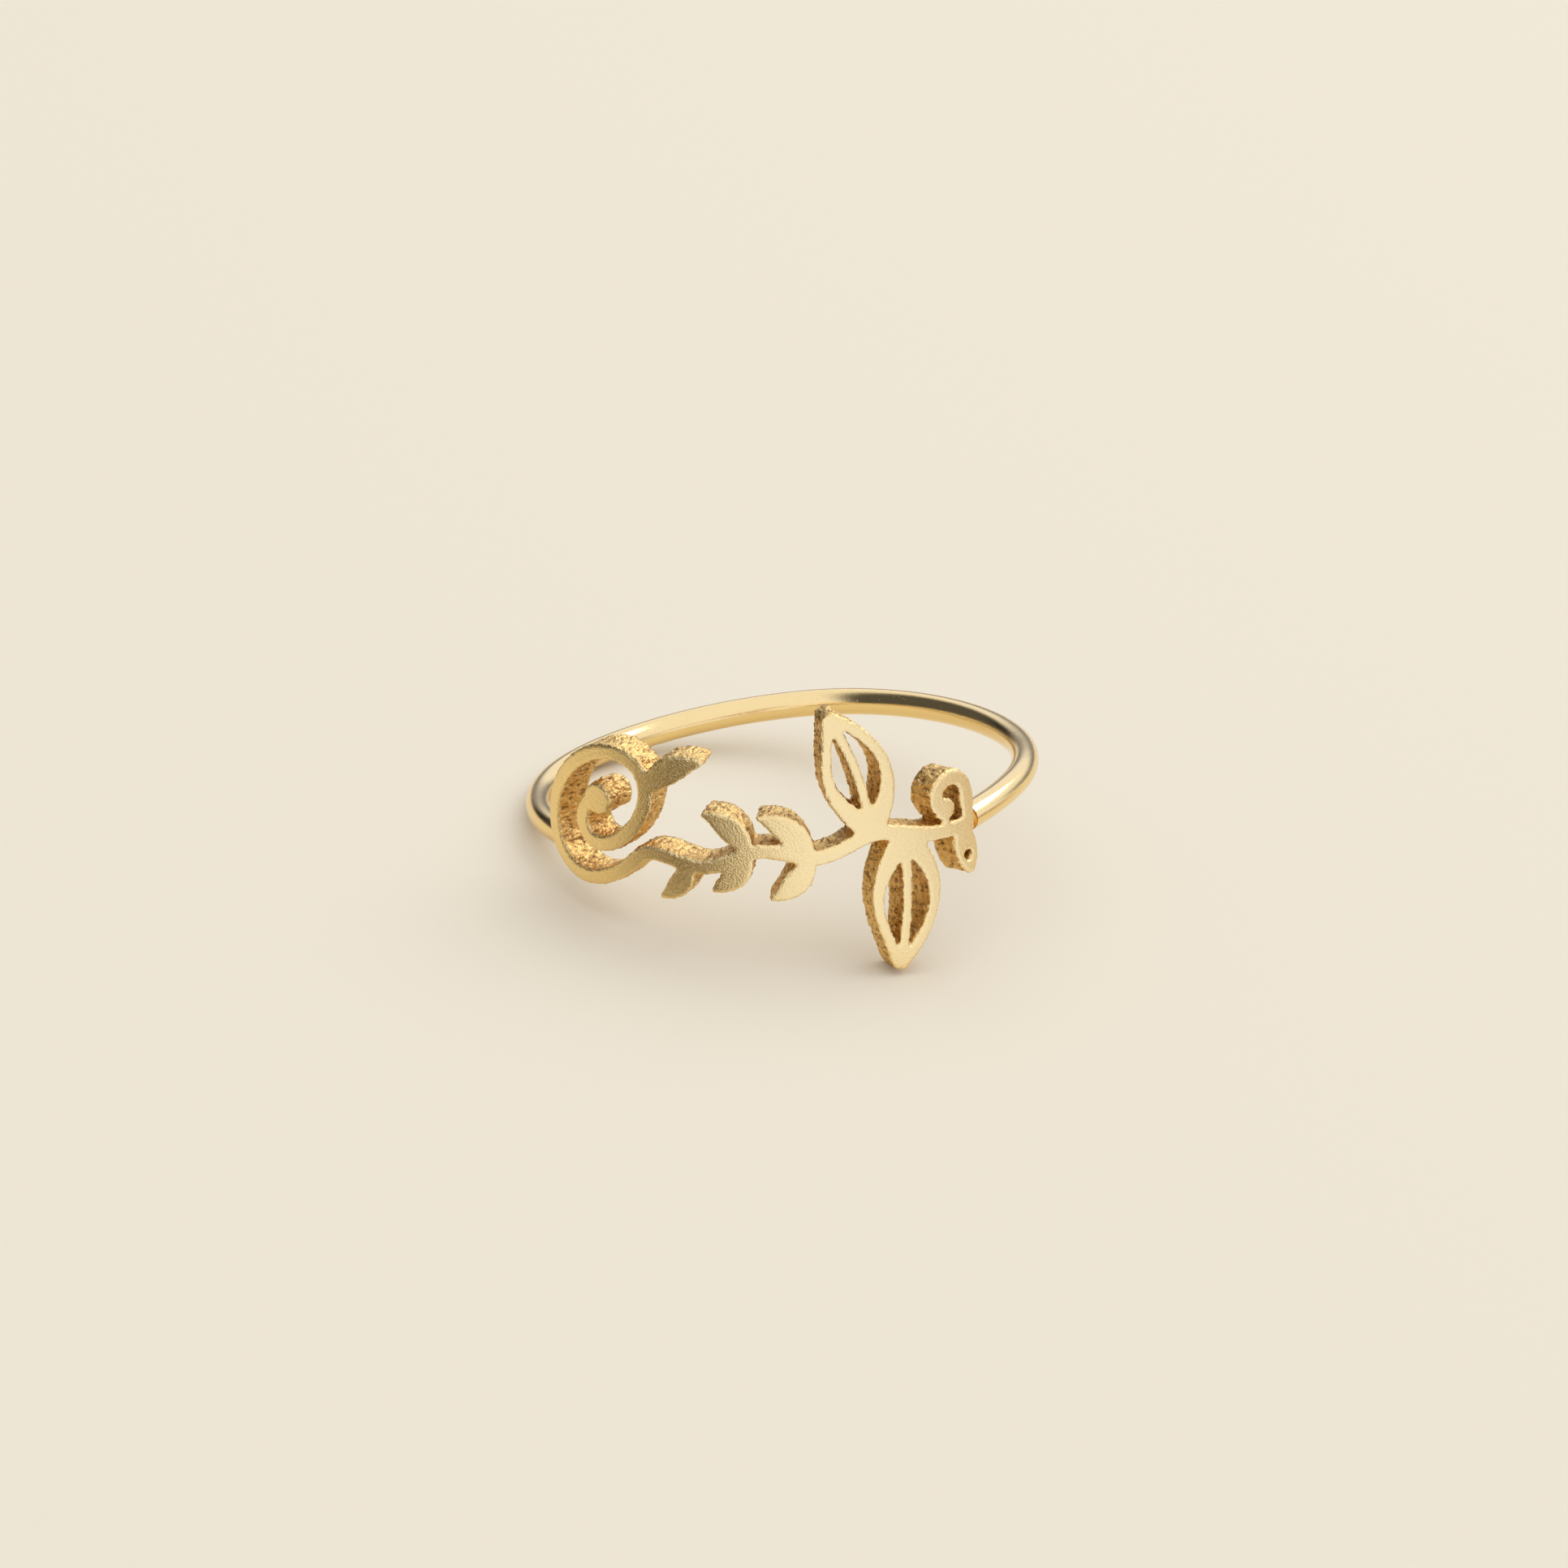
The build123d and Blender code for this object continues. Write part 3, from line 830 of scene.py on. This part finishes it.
def paper_floor_with_painted_reflections(studio):
    """Plain paper, with dark, bright and dim reflections painted on it that only the gold mirrors; the
    bright one glows.
    """
    material = flat_material("paper", studio.floor)
    tree = material.node_tree
    shader = tree.nodes["Principled BSDF"]
    place = tree.nodes.new("ShaderNodeTexCoord")
    parts = tree.nodes.new("ShaderNodeSeparateXYZ")
    tree.links.new(place.outputs["Object"], parts.inputs["Vector"])
    ahead = math_node(tree, "MULTIPLY", parts.outputs["Y"], -1.0)
    turn = math_node(tree, "ARCTAN2", parts.outputs["X"], ahead)
    away = tree.nodes.new("ShaderNodeVectorMath")
    away.operation = "LENGTH"
    tree.links.new(place.outputs["Object"], away.inputs[0])
    ray = tree.nodes.new("ShaderNodeLightPath")
    masks = []
    # Each mask paints a reflection on the floor, for glossy rays only
    for first, last, near in (PAINTED_DARK_SPAN, PAINTED_BRIGHT_SPAN, PAINTED_DIM_SPAN, PAINTED_DARK_LEFT_SPAN):
        rise = ramped(tree, turn, radians(first), radians(first + FIRST_EDGE))
        fall = ramped(tree, turn, radians(last), radians(last - LAST_EDGE))
        clear = ramped(tree, away.outputs["Value"], near * MM, NEAR_EDGE * near * MM)
        shown = math_node(tree, "MULTIPLY", clear, ray.outputs["Is Glossy Ray"])
        masks.append(math_node(tree, "MULTIPLY", math_node(tree, "MULTIPLY", rise, fall), shown))
    painted_dark_front, bright, dim, painted_dark_left = masks
    dark = math_node(tree, "MAXIMUM", painted_dark_front, painted_dark_left)
    # Painted dark and dim reflections, and a glowing painted bright one
    tone = mixed(tree, dim, mixed(tree, dark, studio.floor, studio.painted_dark_reflection), studio.painted_dim_reflection)
    tree.links.new(mixed(tree, bright, tone, (0, 0, 0)), shader.inputs["Base Color"])
    shader.inputs["Emission Color"].default_value = (*studio.painted_bright_reflection, 1.0)
    glow = math_node(tree, "MULTIPLY", bright, studio.painted_reflection_glow)
    tree.links.new(glow, shader.inputs["Emission Strength"])
    return material


def sky_light(studio):
    """World of even soft light, which the gold mirrors dimmer at the left and low at the back."""
    world = bpy.data.worlds.new("sky")
    world.use_nodes = True
    tree = world.node_tree
    sky = tree.nodes["Background"]
    ray = tree.nodes.new("ShaderNodeLightPath")
    shown = ray.outputs["Is Glossy Ray"]
    tree.links.new(mixed(tree, shown, studio.sky, studio.gleam), sky.inputs["Color"])
    way = tree.nodes.new("ShaderNodeTexCoord")
    parts = tree.nodes.new("ShaderNodeSeparateXYZ")
    tree.links.new(way.outputs["Generated"], parts.inputs["Vector"])
    left = ramped(tree, parts.outputs["X"], *SKY_LEFT)
    low = ramped(tree, parts.outputs["Z"], *SKY_LOW)
    rear = math_node(tree, "MULTIPLY", ramped(tree, parts.outputs["Y"], *SKY_REAR), low)
    ahead = math_node(tree, "MULTIPLY", ramped(tree, parts.outputs["Y"], *SKY_AHEAD), low)
    right = math_node(tree, "MULTIPLY", ramped(tree, parts.outputs["X"], *SKY_RIGHT), low)
    strength = studio.gleam_strength
    shares = (studio.left_share, studio.rear_share, studio.front_share, studio.right_share)
    for mask, share in zip((left, rear, ahead, right), shares):
        dimmed = math_node(tree, "MULTIPLY_ADD", mask, share - 1, 1.0)
        strength = math_node(tree, "MULTIPLY", dimmed, strength)
    slope = math_node(tree, "MULTIPLY_ADD", parts.outputs["Z"], SKY_GROWTH, SKY_HORIZON)
    soft = math_node(tree, "MULTIPLY", slope, studio.sky_strength)
    more = math_node(tree, "SUBTRACT", strength, soft)
    both = math_node(tree, "MULTIPLY_ADD", more, shown, soft)
    tree.links.new(both, sky.inputs["Strength"])
    return world


def add_area_light(name, place, target, size, power, tint):
    """A square soft light that faces a target."""
    light = bpy.data.lights.new(name, "AREA")
    light.shape = "SQUARE"
    light.size = size
    light.energy = power
    light.color = tint
    lamp = bpy.data.objects.new(name, light)
    lamp.location = place
    lamp.rotation_mode = "QUATERNION"
    lamp.rotation_quaternion = (Vector(target) - Vector(place)).to_track_quat("-Z", "Y")
    bpy.context.scene.collection.objects.link(lamp)
    return lamp


def add_gleam(key, studio):
    """A glowing card just before the key light, which only the gold mirrors."""
    material = flat_material("gleam", (0, 0, 0))
    shader = material.node_tree.nodes["Principled BSDF"]
    shader.inputs["Emission Color"].default_value = (*studio.gleam, 1.0)
    shader.inputs["Emission Strength"].default_value = studio.gleam_glow
    middle = GLEAM_SHARE * Vector(KEY_PLACE)
    half = studio.gleam_size / 2
    corners = []
    for x, y in ((-1, 1), (1, 1), (1, -1), (-1, -1)):
        corners.append(middle + key.rotation_quaternion @ Vector((x * half, y * half, 0)))
    card = add_card("gleam", corners, material)
    card.visible_camera = card.visible_diffuse = card.visible_shadow = False


def add_camera(studio):
    """Camera at the photograph's angle to the ring."""
    azimuth, elevation, roll = studio.azimuth, studio.elevation, studio.roll
    level = Vector((cos(azimuth), sin(azimuth), 0))
    back = Vector((sin(azimuth) * cos(elevation), -cos(azimuth) * cos(elevation), sin(elevation)))
    upright = back.cross(level)
    up = upright * cos(roll) + level * sin(roll)
    right = up.cross(back)
    target = RING_CENTRE + right * AIM_RIGHT * MM - up * AIM_DOWN * MM
    lens = bpy.data.cameras.new("camera")
    lens.lens = lens.sensor_width * studio.distance / studio.view_width
    lens.clip_start = 0.01
    lens.clip_end = 10
    camera = bpy.data.objects.new("camera", lens)
    turned = Matrix((right, up, back)).transposed().to_4x4()
    camera.matrix_world = Matrix.Translation(target + back * studio.distance) @ turned
    bpy.context.scene.collection.objects.link(camera)
    bpy.context.scene.camera = camera


class RING_OT_studio(Operator):
    """Lays the paper floor, sets the soft lights and places the camera"""

    bl_idname = "ring.studio"
    bl_label = "Studio"

    def execute(self, context):
        _, _, studio = settings(context)
        corners = [(x * FLOOR_REACH, y * FLOOR_REACH, 0) for x, y in ((-1, -1), (1, -1), (1, 1), (-1, 1))]
        add_card("floor", corners, paper_floor_with_painted_reflections(studio))
        key = add_area_light("key", KEY_PLACE, RING_CENTRE, studio.key_size, studio.key_power, studio.sky)
        key.visible_glossy = False
        add_gleam(key, studio)
        context.scene.world = sky_light(studio)
        context.scene.view_settings.view_transform = "Standard"
        add_camera(studio)
        return {"FINISHED"}


class RING_PT_sidebar(Panel):
    """Sidebar with the ring's settings and its operators"""

    bl_idname = "RING_PT_sidebar"
    bl_label = "Vine ring"
    bl_space_type = "VIEW_3D"
    bl_region_type = "UI"
    bl_category = "Ring"

    def draw(self, context):
        for group in settings(context):
            for name in group.__annotations__:
                self.layout.prop(group, name)
        for operator in OPERATORS:
            self.layout.operator(operator.bl_idname)


GROUPS = (
    ("ring_sizes", RingSizes),
    ("ring_colours", RingColours),
    ("ring_studio", StudioSettings),
)
OPERATORS = (RING_OT_band, RING_OT_front, RING_OT_studio)


def register():
    for name, group in GROUPS:
        bpy.utils.register_class(group)
        setattr(bpy.types.Scene, name, PointerProperty(type=group))
    for item in (*OPERATORS, RING_PT_sidebar):
        bpy.utils.register_class(item)


def unregister():
    for item in (RING_PT_sidebar, *reversed(OPERATORS)):
        bpy.utils.unregister_class(item)
    for name, group in reversed(GROUPS):
        delattr(bpy.types.Scene, name)
        bpy.utils.unregister_class(group)


def main():
    register()
    bpy.ops.ring.band()
    bpy.ops.ring.front()
    bpy.ops.ring.studio()


if __name__ == "__main__":
    main()
